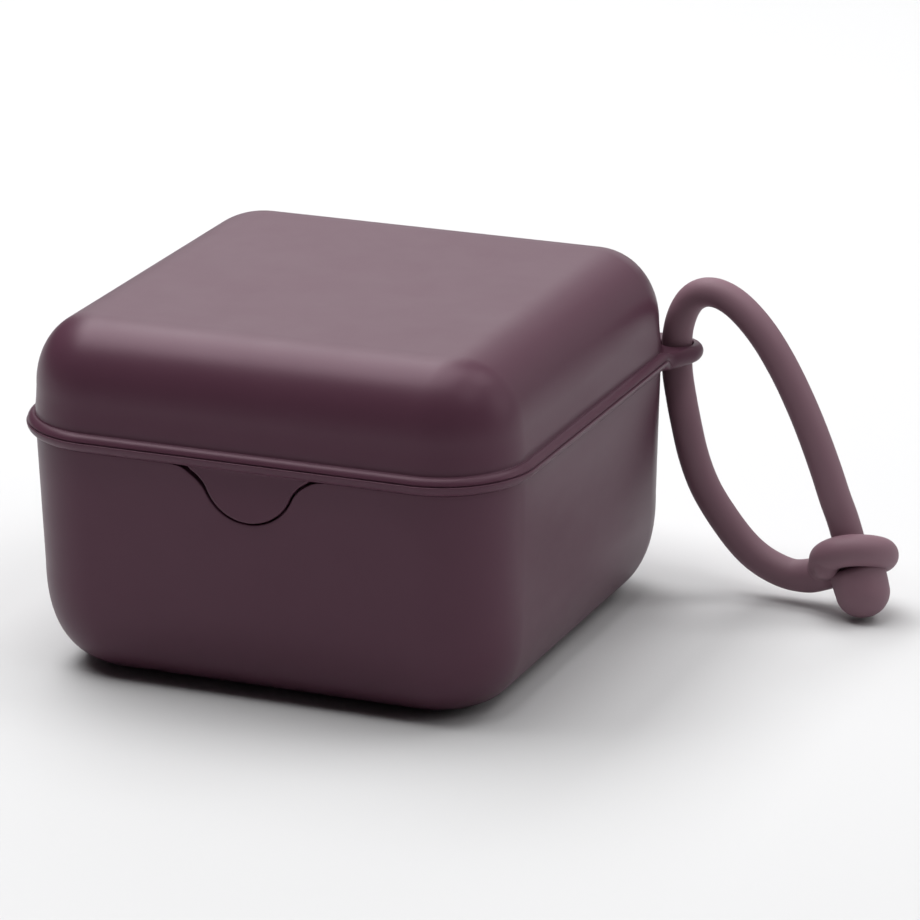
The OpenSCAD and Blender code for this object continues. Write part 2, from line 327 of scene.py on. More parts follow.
def ball_mesh(n=64):
    """The end knob: a domed plug with nearly straight sides, its shoulder drawn in to the strand."""
    axis = by_eye(-1.06, 3.5, 0.45) - BALL_AT
    axis /= np.linalg.norm(axis)
    e1 = np.cross(axis, [0, 1, 0])
    e1 /= np.linalg.norm(e1)
    e2 = np.cross(axis, e1)
    prof = [(max(0.02, 4.70 * math.cos(rad(t))), 4.46 * math.sin(rad(t))) for t in np.linspace(-89.5, 0, 22)]
    prof += [(4.74, 0.6), (4.78, 1.2), (4.80, 1.9), (4.80, 2.7), (4.76, 3.3)]
    prof += [(4.76 - 1.4 * (1 - math.cos(rad(t))), 3.3 + 1.2 * math.sin(rad(t))) for t in (15, 30, 45, 60, 75, 90)]
    prof += [(3.0, 4.6), (2.65, 4.9), (2.5, 5.4), (2.5, 6.5)]
    rings = []
    a = np.linspace(0, 2 * math.pi, n, endpoint=False)[:, None]
    for r, h in prof:
        rings.append(BALL_AT + axis * h + r * (np.cos(a) * e1 + np.sin(a) * e2))
    return loft(rings)


v, f = ball_mesh()
strap_ball = add_mesh("strap_ball_end", v, f, sharp=80)

for piece, node in ((strap_top, "strap_upper"), (strap_low, "strap_lower"), (strap_ring, "strap_ring"), (strap_ball, "strap_ball")):
    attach(piece, "strap")
    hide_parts(node)

# ------------------------------------------------------------------ the case: shared outlines

HALF, RC, PART_Z = 43.5, 14.2, 40.8
CC = HALF - RC
HY, HZ = HALF + 3.8, PART_Z
TAB_X, TAB_R, TAB_DROP, TAB_FIL = 0.3, 8.0, 8.6, 6.3
TAB_CZ = PART_Z - TAB_DROP + TAB_R
TAB_FZ = PART_Z - TAB_FIL
TAB_W = math.sqrt((TAB_R + TAB_FIL) ** 2 - (TAB_FZ - TAB_CZ) ** 2)
TAB_ZONE = 14.4
EAR = (43.4, 40.0)


def tab_curve(gap, n=61):
    """Right half of the thumb tab's outline from its lowest point out to the rim: points and outward normals.
    gap is a function of the share of the way that gives how far the outline is grown."""
    k = TAB_R / (TAB_R + TAB_FIL)
    a_end = math.degrees(math.atan2(TAB_FZ - TAB_CZ, TAB_W))  # angle of the tangent point
    l1 = rad(a_end + 90) * TAB_R
    a_fil = 180 + a_end
    l2 = rad(a_fil - 90) * TAB_FIL
    pts, nrm = [], []
    for s in np.linspace(0, 1, n):
        l = s * (l1 + l2)
        if l <= l1:
            a = -90 + math.degrees(l / TAB_R)
            nx, nz = math.cos(rad(a)), math.sin(rad(a))
            x, z = TAB_R * nx, TAB_CZ + TAB_R * nz
        else:
            a = a_fil - math.degrees((l - l1) / TAB_FIL)
            nx, nz = -math.cos(rad(a)), -math.sin(rad(a))
            x, z = TAB_W - TAB_FIL * nx, TAB_FZ - TAB_FIL * nz
        g = gap(s)
        pts.append((x + g * nx, z + g * nz))
        nrm.append((nx, nz))
    return np.array(pts), np.array(nrm)


TAB_N = 61
# signed positions along the tab, from its left end through its lowest point to its right end
TAB_KEYS = [-(1 - i / (TAB_N - 1)) for i in range(TAB_N)] + [i / (TAB_N - 1) for i in range(1, TAB_N)]


def whole_tab(gap, gap_left=None):
    p, n = tab_curve(gap, TAB_N)
    q, m = tab_curve(gap_left or gap, TAB_N)
    left = q[::-1] * np.array([-1, 1])
    ln = m[::-1] * np.array([-1, 1])
    pts = np.vstack([left, p[1:]]) + np.array([TAB_X, 0])
    nrm = np.vstack([ln, n[1:]])
    return pts, nrm


# Columns: where each point of a ring stands on the rounded square
COLS = []
for u in (0, 0.2, 0.4, 0.58, 0.72, 0.82, 0.88, 0.92, 0.96, 0.985):
    COLS.append(("front_l", u))
for i, s in enumerate(TAB_KEYS):
    COLS.append(("tab", i))
for u in (0.015, 0.04, 0.08, 0.12, 0.18, 0.28, 0.42, 0.6, 0.8, 1):
    COLS.append(("front_r", u))
for a in np.linspace(-90, 0, 29)[1:-1]:
    COLS.append(("fr", a))
for u in np.linspace(-1, 1, 15):
    COLS.append(("right", u))
N_EAR = 84
for i in range(1, N_EAR):
    COLS.append(("rr", 90 * i / N_EAR))
for u in np.linspace(1, -1, 29):
    COLS.append(("rear", u))
for a in np.linspace(90, 180, 29)[1:-1]:
    COLS.append(("rl", a))
for u in np.linspace(1, -1, 11):
    COLS.append(("left", u))
for a in np.linspace(180, 270, 29)[1:-1]:
    COLS.append(("fl", a))
NC = len(COLS)
TAB_IDX = np.array([i for i, c in enumerate(COLS) if c[0] == "tab"])
EAR_IDX = np.array([i for i, c in enumerate(COLS) if c[0] == "rr"])
TAB_PTS, TAB_NRM = whole_tab(lambda s: 0.0)


def ring2(h, r):
    """Points of the rounded square, half width h and corner radius r, one per column."""
    L = h - r
    xl, xr = TAB_PTS[0][0], TAB_PTS[-1][0]
    out = np.zeros((NC, 2))
    for i, (kind, u) in enumerate(COLS):
        if kind == "front_l":
            out[i] = (-L + (xl + L) * u, -h)
        elif kind == "tab":
            out[i] = (TAB_PTS[u][0], -h)
        elif kind == "front_r":
            out[i] = (xr + (L - xr) * u, -h)
        elif kind == "right":
            out[i] = (h, L * u)
        elif kind == "rear":
            out[i] = (L * u, h)
        elif kind == "left":
            out[i] = (-h, L * u)
        else:
            cx = L if kind in ("fr", "rr") else -L
            cy = L if kind in ("rr", "rl") else -L
            out[i] = (cx + r * math.cos(rad(u)), cy + r * math.sin(rad(u)))
    return out


def ring3(h, r, z):
    p = ring2(h, r)
    z = np.broadcast_to(np.asarray(z, float), (NC,))
    return np.column_stack([p, z])


def se_x(t, n):
    return 1 - math.cos(t) ** (2 / n)


def se_z(t, n):
    return math.sin(t) ** (2 / n)


def even_steps(xf, zf, count):
    """Angles that step evenly along the curve (xf(t), zf(t)), t from 0 to a quarter turn."""
    t = np.linspace(0, math.pi / 2, 400)
    p = np.array([(xf(a), zf(a)) for a in t])
    d = np.concatenate([[0], np.cumsum(np.linalg.norm(np.diff(p, axis=0), axis=1))])
    return np.interp(np.linspace(0, d[-1], count), d, t)


def tab_ring(base2, pts, depth_in):
    """Moves the tab's columns of a ring to outline points, depth_in inside the front face."""
    out = base2.copy()
    out[TAB_IDX, 0] = pts[:, 0]
    out[TAB_IDX, 1] = -HALF + depth_in
    return out


# ------------------------------------------------------------------ base

LEDGE = PART_Z - 0.04


def base_level(i):
    return HALF - i, RC - 0.64 * i


def make_base():
    rings = []
    W = 2.0
    # outer floor, from the middle outwards
    ts = even_steps(lambda t: 11.6 * se_x(t, 2.46), lambda t: -18 * se_z(t, 2.46), 30)[::-1]
    h0, r0 = base_level(0.7 + 11.6 * se_x(ts[0], 2.46))
    for s in (4.0, 1.0):
        rings.append(ring3(h0 - s, max(0.5, r0 - s * 0.6), 0.0))
    for t in ts:
        i = 0.7 + 11.6 * se_x(t, 2.46)
        h, r = base_level(i)
        rings.append(ring3(h, r, 18 * (1 - se_z(t, 2.46))))

    # wall up to the ledge; under the thumb tab it ends along the recess
    tip, reach = 0.17, (0.6, 0.6)

    def gap_right(s):
        wide = 0.37 - 0.05 * float(smoothstep(np.array(s / 0.3)))
        return wide + 0.06 * float(smoothstep(np.array((s - 0.45) / 0.3))) - (0.38 - tip) * float(smoothstep(np.array((s - 0.78) / 0.22)))

    def gap_left(s):
        wide = 0.37 + 0.12 * float(smoothstep(np.array(s / 0.3)))
        return wide + 0.20 * float(smoothstep(np.array((s - 0.45) / 0.3))) - (0.69 - tip) * float(smoothstep(np.array((s - 0.76) / 0.24)))

    pts, nrm = whole_tab(gap_right, gap_left)
    pts[:, 1] = np.minimum(pts[:, 1], LEDGE)
    z_top = np.full(NC, LEDGE)
    z_top[TAB_IDX] = pts[:, 1]
    # the recess runs out in a fine slit on either side
    cols = ring2(HALF, RC)
    for i, (kind, u) in enumerate(COLS):
        if kind == "front_l":
            d, end = TAB_PTS[0][0] - cols[i, 0], pts[0, 1]
            z_top[i] = LEDGE - (LEDGE - end) * max(0.0, 1 - d / reach[0]) ** 1.6
        elif kind == "front_r":
            d, end = cols[i, 0] - TAB_PTS[-1][0], pts[-1, 1]
            z_top[i] = LEDGE - (LEDGE - end) * max(0.0, 1 - d / reach[1]) ** 1.6

    def wall_inset(z):
        return 0.7 * (LEDGE - z) / (LEDGE - 18.0)

    def wall_ring(z, xs=None, extra=0.0):
        """Ring on the wall at heights z per column."""
        z = np.broadcast_to(np.asarray(z, float), (NC,))
        out = np.zeros((NC, 3))
        ins = wall_inset(z) + extra
        # rings at two insets, blended per column: the wall is ruled between them
        a = ring2(*base_level(0.0))
        b = ring2(*base_level(0.7))
        k = (ins / 0.7)[:, None]
        out[:, :2] = a * (1 - k) + b * k
        out[:, 2] = z
        if xs is not None:
            out[TAB_IDX, 0] = xs
        return out

    low = np.full(NC, 26.0)
    rings.append(wall_ring(low))
    # the tab's columns lean over to the outline's own points
    k2 = np.clip((LEDGE - 0.05 - z_top) / 1.2, 0, 1)
    e = 0.06 + 0.16 * smoothstep(k2)
    et = e[TAB_IDX]
    for q in (0.45, 0.8, 0.94):
        z = low + (z_top - e * 1.6 - low) * q
        x0 = TAB_PTS[:, 0]
        x1 = pts[:, 0] + nrm[:, 0] * et * 1.6 * k2[TAB_IDX]
        rings.append(wall_ring(z, x0 + (x1 - x0) * smoothstep(np.array((q - 0.3) / 0.64))))
    for a in (0, 18, 36, 54, 72, 90):
        off = e * (1 - math.sin(rad(a)))
        ins = e * (1 - math.cos(rad(a)))
        z = z_top - off
        down = nrm[:, 1] * k2[TAB_IDX] - (1 - k2[TAB_IDX])
        z[TAB_IDX] = pts[:, 1] + down * off[TAB_IDX]
        x = pts[:, 0] + nrm[:, 0] * off[TAB_IDX] * k2[TAB_IDX]
        rr = wall_ring(z, x)
        # move inwards by the rounding's inset
        out_dir = ring2(HALF, RC) - ring2(HALF - 1, RC - 1)
        rr[:, :2] -= out_dir * ins[:, None]
        rr[TAB_IDX, 0] = x
        rings.append(rr)

    # ledge to the lip, with a small fillet
    def flat(ins, z, xs=None):
        rr = ring3(HALF - ins, RC - ins, z)
        if xs is not None:
            rr[TAB_IDX, 0] = xs
        return rr

    rings.append(flat(1.9, z_top, pts[:, 0]))
    rings.append(flat(2.04, z_top + 0.06, pts[:, 0]))
    rings.append(flat(2.1, np.maximum(z_top + 0.2, z_top), pts[:, 0]))
    rings.append(flat(2.1, LEDGE + 0.6))
    lip_top = PART_Z + 2.9
    for a in (0, 22, 45, 68, 90):
        rings.append(flat(2.1 + 0.5 * (1 - math.cos(rad(a))), lip_top - 0.5 * (1 - math.sin(rad(a)))))
    for a in (90, 68, 45, 22, 0):
        rings.append(flat(3.5 - 0.5 * (1 - math.cos(rad(a))), lip_top - 0.5 * (1 - math.sin(rad(a)))))
    # inside, down to the floor
    rings.append(flat(3.5, 38.4))
    rings.append(flat(3.44, 37.9))
    rings.append(flat(3.25, 37.5))
    # behind the recess the wall is thicker inwards, so that the recess has a back
    rings.append(inner_ring(3.0, 2.25, 37.0))
    rings.append(inner_ring(3.3, 2.05, 36.2))
    rings.append(inner_ring(3.5, 2.0, 33.5))
    rings.append(inner_ring(3.4, 2.06, 30.5))
    rings.append(inner_ring(2.9, 2.14, 29.0))
    rings.append(inner_ring(2.35, 2.22, 27.6))
    rings.append(inner_ring(2.4, 2.3, 26.5))
    ts = even_steps(lambda t: 9.8 * se_x(t, 2.46), lambda t: -16 * se_z(t, 2.46), 22)
    for t in ts:
        i = 0.7 + 9.8 * se_x(t, 2.46)
        rings.append(ring3(HALF - W - i, RC - W - 0.64 * i, W + 16 * (1 - se_z(t, 2.46))))
    i = 0.7 + 9.8
    for s in (1.0, 4.0):
        rings.append(ring3(HALF - W - i - s, max(0.5, RC - W - 0.64 * i - s * 0.6), W))
    return loft(rings)


TAB_MASK = np.zeros(NC)
for j, i in enumerate(TAB_IDX):
    TAB_MASK[i] = float(smoothstep(np.array((13.6 - abs(TAB_PTS[j][0] - TAB_X)) / 2.2)))


def inner_ring(tab_inset, inset, z):
    """Ring of the base's inside with its own inset behind the thumb tab's recess."""
    a = ring2(HALF - inset, RC - inset)
    b = ring2(HALF - tab_inset, RC - tab_inset)
    m = TAB_MASK[:, None]
    p = a * (1 - m) + b * m
    return np.column_stack([p, np.full(NC, float(z))])


v, f = make_base()
base = add_mesh("case_base", v, f)


def extruded(profile, x0, x1, bevel=0.35):
    """Closed (y, z) profile, counterclockwise seen from +X, extruded along X with its end edges rounded."""
    p = np.array(profile, float)
    d1 = np.roll(p, -1, 0) - p
    d0 = p - np.roll(p, 1, 0)
    n1 = np.stack([d1[:, 1], -d1[:, 0]], 1) / np.linalg.norm(d1, axis=1)[:, None]
    n0 = np.stack([d0[:, 1], -d0[:, 0]], 1) / np.linalg.norm(d0, axis=1)[:, None]
    n = n0 + n1
    n /= np.maximum(np.linalg.norm(n, axis=1), 1e-6)[:, None]
    rings = []

    def at(x, ins):
        q = p - n * ins
        return np.column_stack([np.full(len(p), x), q])

    # rounded: inset goes from bevel to 0 while x goes from x0 to x0 + bevel
    for a in (0, 22.5, 45, 67.5, 90):
        rings.append(at(x0 + bevel * (1 - math.cos(rad(a))), bevel * (1 - math.sin(rad(a)))))
    for a in (90, 67.5, 45, 22.5, 0):
        rings.append(at(x1 - bevel * (1 - math.cos(rad(a))), bevel * (1 - math.sin(rad(a)))))
    return loft(rings)


BARREL_R, BARREL_HALF = 2.6, 11.7
# base knuckle: round eye with a gusset down the rear wall
kn = []
kn += arc(HY, HZ, BARREL_R, -45, 172, 30)
kn += [(HALF + 0.52, HZ - 0.42), (HALF - 0.9, HZ - 0.45), (HALF - 1.2, 33.6), (HALF + 0.15, 33.2), (HALF + 0.75, 33.9)]
kn = np.array(kn)
# order runs with the arc counterclockwise seen from +X
for s in (-1, 1):
    lo, hi = (12.0, 17.0) if s > 0 else (-17.0, -12.0)
    v, f = extruded(kn, lo, hi)
    knuckle = add_mesh("knuckle", v, f)
    boolean(base, knuckle, "UNION")
    v, f = revolve([(1.75, lo - 1), (1.75, lo - 0.02), (1.38, lo + 0.35), (1.38, hi - 0.35), (1.75, hi + 0.02), (1.75, hi + 1)],
                   (0, HY, HZ), "X", 40)
    bore = add_mesh("bore", v, f)
    boolean(base, bore, "DIFFERENCE")
split_ngons(base)
finish_mesh(base)

# ------------------------------------------------------------------ lid

LID_Z = PART_Z + 0.05


def ear_line(n):
    """Outermost line of the rim round the ear's corner, as n evenly spaced points from the right wall's to the rear wall's."""
    pts = [(45.0, CC), (45.0, 30.2)]
    R_f = 7.0
    d = (0.4245, 0.9055)
    turn = math.degrees(math.acos(d[1]))
    t = R_f * math.tan(rad(turn / 2))
    y_k = 38.05 - (47.56 - 45.0) / d[0] * d[1]
    # arc that turns from straight up to the neck's direction
    cx, cy = 45.0 + R_f, y_k - t
    pts += [(cx - R_f * math.cos(rad(a)), cy + R_f * math.sin(rad(a))) for a in np.linspace(0, turn, 12)]
    er = 4.6
    a0 = -math.degrees(math.atan2(d[0], d[1]))
    pts += [(EAR[0] + er * math.cos(rad(a)), EAR[1] + er * math.sin(rad(a))) for a in np.linspace(a0, 72, 50)]
    p0 = np.array(pts[-1])
    t0 = np.array([-math.sin(rad(72)), math.cos(rad(72))])
    p3 = np.array([38.6, 45.0])
    p1, p2 = p0 + t0 * 1.5, p3 + np.array([2.2, 0])
    for u in np.linspace(0, 1, 24)[1:]:
        pts.append(tuple((1 - u) ** 3 * p0 + 3 * (1 - u) ** 2 * u * p1 + 3 * (1 - u) * u * u * p2 + u ** 3 * p3))
    pts.append((CC, 45.0))
    p = np.array(pts)
    dd = np.concatenate([[0], np.cumsum(np.linalg.norm(np.diff(p, axis=0), axis=1))])
    s = np.linspace(0, dd[-1], n)
    return np.stack([np.interp(s, dd, p[:, c]) for c in range(2)], 1)


WALL2 = ring2(HALF, RC)
OUT2 = ring2(HALF + 1.5, RC + 1.5)
line = ear_line(N_EAR + 1)
OUT2[EAR_IDX] = line[1:-1]
DIST = np.linalg.norm(OUT2 - WALL2, axis=1)
DIRN = (OUT2 - WALL2) / DIST[:, None]
EAR_W = smoothstep((DIST - 1.52) / 1.5)
BEAD_A, BEAD_Z, BEAD_R = -0.12, PART_Z + 1.7, 1.62
EAR_ZC, EAR_R = 41.85, 1.5


def rim_profile():
    """Pairs of (a, z) profile points: plain rim, and rim at the ear, where a is measured from the line's distance if the flag is set."""
    plain, ear, tied = [], [], []

    def put(p, e, tie):
        plain.append(p)
        ear.append(e)
        tied.append(tie)

    put((0, 45.2), (0, 45.2), 0)
    put((0, 44.75), (0, 44.5), 0)
    put((0.005, 44.42), (0.02, 44.05), 0)
    put((0.01, 44.20), (0.12, 43.72), 0)
    put((0.05, 44.06), (0.32, 43.50), 0)
    put((0.14, 43.98), (0.62, 43.38), 0)
    n = 18
    for k in range(n):
        s = k / (n - 1)
        a = 74 - 56 * s
        b = 96 - 140 * s
        put((BEAD_A - 1.5 + BEAD_R * math.cos(rad(a)), BEAD_Z + BEAD_R * math.sin(rad(a))),
            (-EAR_R + EAR_R * math.cos(rad(b)), EAR_ZC + EAR_R * math.sin(rad(b))), 1)
    # a fine crease near the bead's middle with a crisp shoulder, then the lower half turning in to the wall
    low = [(1.36, 42.93), (1.28, 42.87), (1.245, 42.80), (1.26, 42.74), (1.34, 42.70)]
    low += arc(1.43, 42.52, 0.17, 80, 8, 6)
    low += [(BEAD_A + 1.70 * math.cos(rad(a)), 42.55 + 1.70 * math.sin(rad(a))) for a in (-6, -14, -22, -30, -38, -46, -54, -62, -70, -78)]
    low += [(0.12, 40.87), (0.08, LID_Z)]
    for k, (a, z) in enumerate(low):
        s = k / (len(low) - 1)
        b = -48 - 42 * s
        put((a - 1.5, z), (-EAR_R + EAR_R * math.cos(rad(b)), EAR_ZC + EAR_R * math.sin(rad(b))), 1)
    return np.array(plain), np.array(ear), np.array(tied)


P_PLAIN, P_EAR, P_TIED = rim_profile()


def rim_rings():
    out = []
    for (a0, z0), (a1, z1), tie in zip(P_PLAIN, P_EAR, P_TIED):
        if tie:
            a = (a0 * (1 - EAR_W) + a1 * EAR_W) + DIST
        else:
            a = a0 * (1 - EAR_W) + a1 * EAR_W
        z = z0 * (1 - EAR_W) + z1 * EAR_W
        p = WALL2 + DIRN * a[:, None]
        out.append(np.column_stack([p, z]))
    return out


def lid_level(i):
    return HALF - i, max(0.6, RC - 1.17 * i)


def make_lid():
    rings = []
    # inside, from the middle of the roof out and down
    W = 1.8
    ts = even_steps(lambda t: 9.5 * se_x(t, 2.08), lambda t: 10.6 * se_z(t, 2.08), 20)[::-1]
    i0 = 0.3 + 9.5
    for s in (4.0, 1.0):
        rings.append(ring3(HALF - W - i0 - s, max(0.4, RC - W - 1.17 * i0 - s * 0.3), 61 - W))
    for t in ts:
        i = 0.3 + 9.5 * se_x(t, 2.08)
        rings.append(ring3(HALF - W - i, max(0.8, RC - W - 1.17 * i), 48.6 + (12.4 - W) * se_z(t, 2.08)))
    rings.append(ring3(HALF - W, RC - W, 44.3))
    rings.append(ring3(HALF - W, RC - W, 41.6))
    # inner edge of the tab and of the wall's end
    t_pts, t_nrm = whole_tab(lambda s: 0.0)
    t_pts[:, 1] = np.minimum(t_pts[:, 1], LID_Z)
    deep = np.clip((LID_Z - t_pts[:, 1]) / 0.7, 0, 1)
    e = 0.26

    def edge_ring(ins, off, z_plain):
        """Ring near the wall's lower end: off is how far it keeps from the tab's outline."""
        rr = ring3(HALF - ins, RC - ins, z_plain)
        x = t_pts[:, 0] - t_nrm[:, 0] * off * deep
        z = t_pts[:, 1] - t_nrm[:, 1] * off
        zz = np.where(deep > 0, z * deep + (np.minimum(z_plain, 99)) * (1 - deep), z_plain)
        rr[TAB_IDX, 0] = x
        rr[TAB_IDX, 2] = zz
        return rr

    def tab_mid(ins, q, z_plain):
        """Ring across the tab's face, q of the way from the rim down to its outline."""
        rr = ring3(HALF - ins, RC - ins, z_plain)
        x = TAB_PTS[:, 0] * (1 - q) + t_pts[:, 0] * q
        z_hi = 40.9
        z = z_hi + (t_pts[:, 1] + e * 1.5 - z_hi) * q
        rr[TAB_IDX, 0] = x
        rr[TAB_IDX, 2] = np.where(deep > 0, z * deep + z_plain * (1 - deep), z_plain)
        return rr

    rings.append(ring3(HALF - W, RC - W, 41.25))
    rings.append(tab_mid(W, 0.3, 41.22))
    rings.append(tab_mid(W, 0.65, 41.19))
    rings.append(tab_mid(W, 0.93, 41.16))
    for a in (0, 30, 60, 90):
        rings.append(edge_ring(W - e * (1 - math.cos(rad(a))) , e * (1 - math.sin(rad(a))), LID_Z + e * (1 - math.sin(rad(a)))))
    # outer edge: plain columns run straight to the band, the tab's turn up its face
    outer = rim_rings()
    # rounded lower edge of the tab's face
    lean = 0.27
    steps = [("edge", a) for a in (90, 60, 30, 0)] + [("face", q) for q in (0.93, 0.6, 0.3, 0.08)] + [("fillet", k) for k in range(4)]
    fil = [(0.0, 40.64), (-0.005, 40.72), (-0.02, 40.79), (-0.05, 40.83)]
    plain = [(0.9, 0.0), (0.75, 0.0), (0.6, 0.0), (0.45, 0.0), (0.35, 0.0), (0.27, 0.0), (0.19, 0.0), (0.11, 0.0), (0.05, 0.0), (0.0, 0.0), (-0.04, 0.0), (-0.07, 0.0)]
    for k, (kind, val) in enumerate(steps):
        p_ins, p_z = plain[k]
        flatr = ring3(HALF - p_ins, RC - p_ins, LID_Z)
        rr = flatr.copy()
        if kind == "edge":
            off = e * (1 - math.sin(rad(val)))
            tx = t_pts[:, 0] - t_nrm[:, 0] * off * deep
            tz = t_pts[:, 1] - t_nrm[:, 1] * off
            depth = e * (1 - math.cos(rad(val)))
        elif kind == "face":
            q = val
            tx = TAB_PTS[:, 0] * (1 - q) + t_pts[:, 0] * q
            z_hi = 40.66
            tz = z_hi + (t_pts[:, 1] + e * 1.3 - z_hi) * q
            depth = 0.0
        else:
            tx = TAB_PTS[:, 0]
            tz = np.full(len(t_pts), fil[val][1])
            depth = fil[val][0]
        if kind == "edge" or kind == "face":
            # the face leans out a touch towards its lower end
            depth = depth - lean * (40.9 - tz) / TAB_DROP
        tp = np.column_stack([tx, np.broadcast_to(-HALF + np.asarray(depth, float), tx.shape), tz])
        pl = flatr[TAB_IDX]
        rr[TAB_IDX] = pl * (1 - deep[:, None]) + tp * deep[:, None]
        rings.append(rr)
    # band, bead and ear, from below upwards
    for rr in outer[::-1]:
        rings.append(rr)
    # dome
    rings.append(ring3(HALF - 0.3 * (46.6 - 44.3) / 4.3, RC - 0.3 * (46.6 - 44.3) / 4.3 * 1.17, 46.6))
    ts = even_steps(lambda t: 11.3 * se_x(t, 2.08), lambda t: 12.4 * se_z(t, 2.08), 34)
    for t in ts:
        i = 0.3 + 11.3 * se_x(t, 2.08)
        h, r = lid_level(i)
        rings.append(ring3(h, r, 48.6 + 12.4 * se_z(t, 2.08)))
    for s in (1.0, 4.0):
        rings.append(ring3(HALF - 11.6 - s, max(0.3, 0.6 - s * 0.1), 61.0))
    return loft(rings)


v, f = make_lid()
lid = add_mesh("case_lid", v, f)

# room in the bead for the base's knuckles, as the closed lid and the open one need
for s in (-1, 1):
    lo, hi = (BARREL_HALF + 0.05, 17.35) if s > 0 else (-17.35, -BARREL_HALF - 0.05)
    v, f = extruded([(HALF + 0.6, 39.5), (HALF + 3.6, 39.5), (HALF + 3.6, 44.9), (HALF + 0.6, 44.9)], lo, hi, 0.0001)
    boolean(lid, add_mesh("knuckle_room", v, f), "DIFFERENCE")

# hinge barrel with its moulded stubs
br = []
br += arc(HY, HZ, BARREL_R, -176, 118, 40)
br += [(HALF + 2.1, 43.52), (HALF + 1.7, 43.85), (HALF + 1.2, 44.0), (HALF - 0.9, 44.0), (HALF - 0.9, 41.0), (HALF + 0.2, 41.0)]
v, f = extruded(br, -BARREL_HALF, BARREL_HALF)
barrel = add_mesh("barrel", v, f)
boolean(lid, barrel, "UNION")
v, f = revolve([(1.0, -16.85), (1.3, -16.5), (1.3, 16.5), (1.0, 16.85)], (0, HY, HZ), "X", 40)
stub = add_mesh("stub", v, f)
boolean(lid, stub, "UNION")
# the strap's hole, its edges rounded
EYE_R = 2.86
q = 0.32
prof = [(EYE_R + q, 36.5), (EYE_R + q, EAR_ZC - EAR_R - 0.02)]
prof += [(EYE_R + q - q * math.sin(rad(a)), EAR_ZC - EAR_R - 0.02 + q * (1 - math.cos(rad(a)))) for a in (22, 45, 68, 90)]
prof += [(EYE_R + q - q * math.sin(rad(a)), EAR_ZC + EAR_R + 0.02 - q * (1 - math.cos(rad(a)))) for a in (90, 68, 45, 22)]
prof += [(EYE_R + q, EAR_ZC + EAR_R + 0.02), (EYE_R + q, 47.5)]
v, f = revolve(prof, (EAR[0], EAR[1], 0), "Z", 64)
hole = add_mesh("hole", v, f)
boolean(lid, hole, "DIFFERENCE")
split_ngons(lid)
finish_mesh(lid)

# ------------------------------------------------------------------ tray


def rsq(h, r, n=14):
    pts = []
    for cx, cy, a0 in ((1, -1, -90), (1, 1, 0), (-1, 1, 90), (-1, -1, 180)):
        pts += arc(cx * (h - r), cy * (h - r), r, a0, a0 + 90, n)
    return np.array(pts)


def make_tray():
    TH, TZ, TT, RIM = 39.2, 15.0, 1.6, 5.0
    r = RC - (HALF - TH)

    def lv(ins, z):
        p = rsq(TH - ins, max(0.8, r - ins))
        return np.column_stack([p, np.full(len(p), z)])

    rings = [lv(3.0, TZ - TT), lv(1.0, TZ - TT)]
    for a in (0, 30, 60, 90):
        rings.append(lv(0.8 * (1 - math.sin(rad(a))), TZ - TT + 0.8 * (1 - math.cos(rad(a)))))
    top = TZ + RIM
    for a in (0, 30, 60, 90):
        rings.append(lv(0.5 * (1 - math.cos(rad(a))), top - 0.5 * (1 - math.sin(rad(a)))))
    for a in (90, 60, 30, 0):
        rings.append(lv(TT - 0.5 * (1 - math.cos(rad(a))), top - 0.5 * (1 - math.sin(rad(a)))))
    for a in (0, 30, 60, 90):
        rings.append(lv(TT + 0.9 * (1 - math.cos(rad(a))), TZ + 0.9 * (1 - math.sin(rad(a)))))
    rings.append(lv(TT + 3.0, TZ))
    return loft(rings)


v, f = make_tray()
tray = add_mesh("steam_tray", v, f)


def box_solid(x0, x1, y0, y1, z0, z1, b=0.35):
    """Block with rounded vertical and top edges."""
    hx, hy_, cx, cy = (x1 - x0) / 2, (y1 - y0) / 2, (x0 + x1) / 2, (y0 + y1) / 2

    def lv(ins, z):
        pts = []
        rr = max(0.05, b - ins)
        ax, ay = hx - ins, hy_ - ins
        for sx, sy, a0 in ((1, -1, -90), (1, 1, 0), (-1, 1, 90), (-1, -1, 180)):
            pts += arc(cx + sx * (ax - rr), cy + sy * (ay - rr), rr, a0, a0 + 90, 5)
        return np.column_stack([np.array(pts), np.full(len(pts), z)])

    rings = [lv(0, z0), lv(0, z1 - b)]
    for a in (30, 60, 90):
        rings.append(lv(b * (1 - math.cos(rad(a))), z1 - b * (1 - math.sin(rad(a)))))
    return loft(rings)


parts = []
parts.append(box_solid(-38.2, 38.2, -0.7, 0.7, 14.3, 18.0))
parts.append(box_solid(-0.7, 0.7, -38.2, 38.2, 14.35, 17.99))
parts.append(box_solid(-7, 7, -0.9, 0.9, 14.4, 23.4, 0.3))
for k, (v, f) in enumerate(parts):
    boolean(tray, add_mesh("rib%d" % k, v, f), "UNION")
# finger grip: a round bar with domed ends
gr = []
for a in np.linspace(0, 90, 7):
    gr.append((max(0.02, 1.5 * math.sin(rad(a))), -7.0 + 0.9 * (1 - math.cos(rad(a)))))
for a in np.linspace(90, 0, 7):
    gr.append((max(0.02, 1.5 * math.sin(rad(a))), 7.0 - 0.9 * (1 - math.cos(rad(a)))))
v, f = revolve(gr, (0, 0, 23.0), "X", 32)
boolean(tray, add_mesh("grip", v, f), "UNION")
for sx in (-1, 1):
    for sy in (-1, 1):
        ft = [(2.2, 2.05), (2.75, 2.25), (3.0, 2.8), (3.0, 12.9), (3.3, 13.6), (3.4, 14.2)]
        v, f = revolve(ft, (sx * 24, sy * 24, 0), "Z", 40)
        boolean(tray, add_mesh("foot", v, f), "UNION")
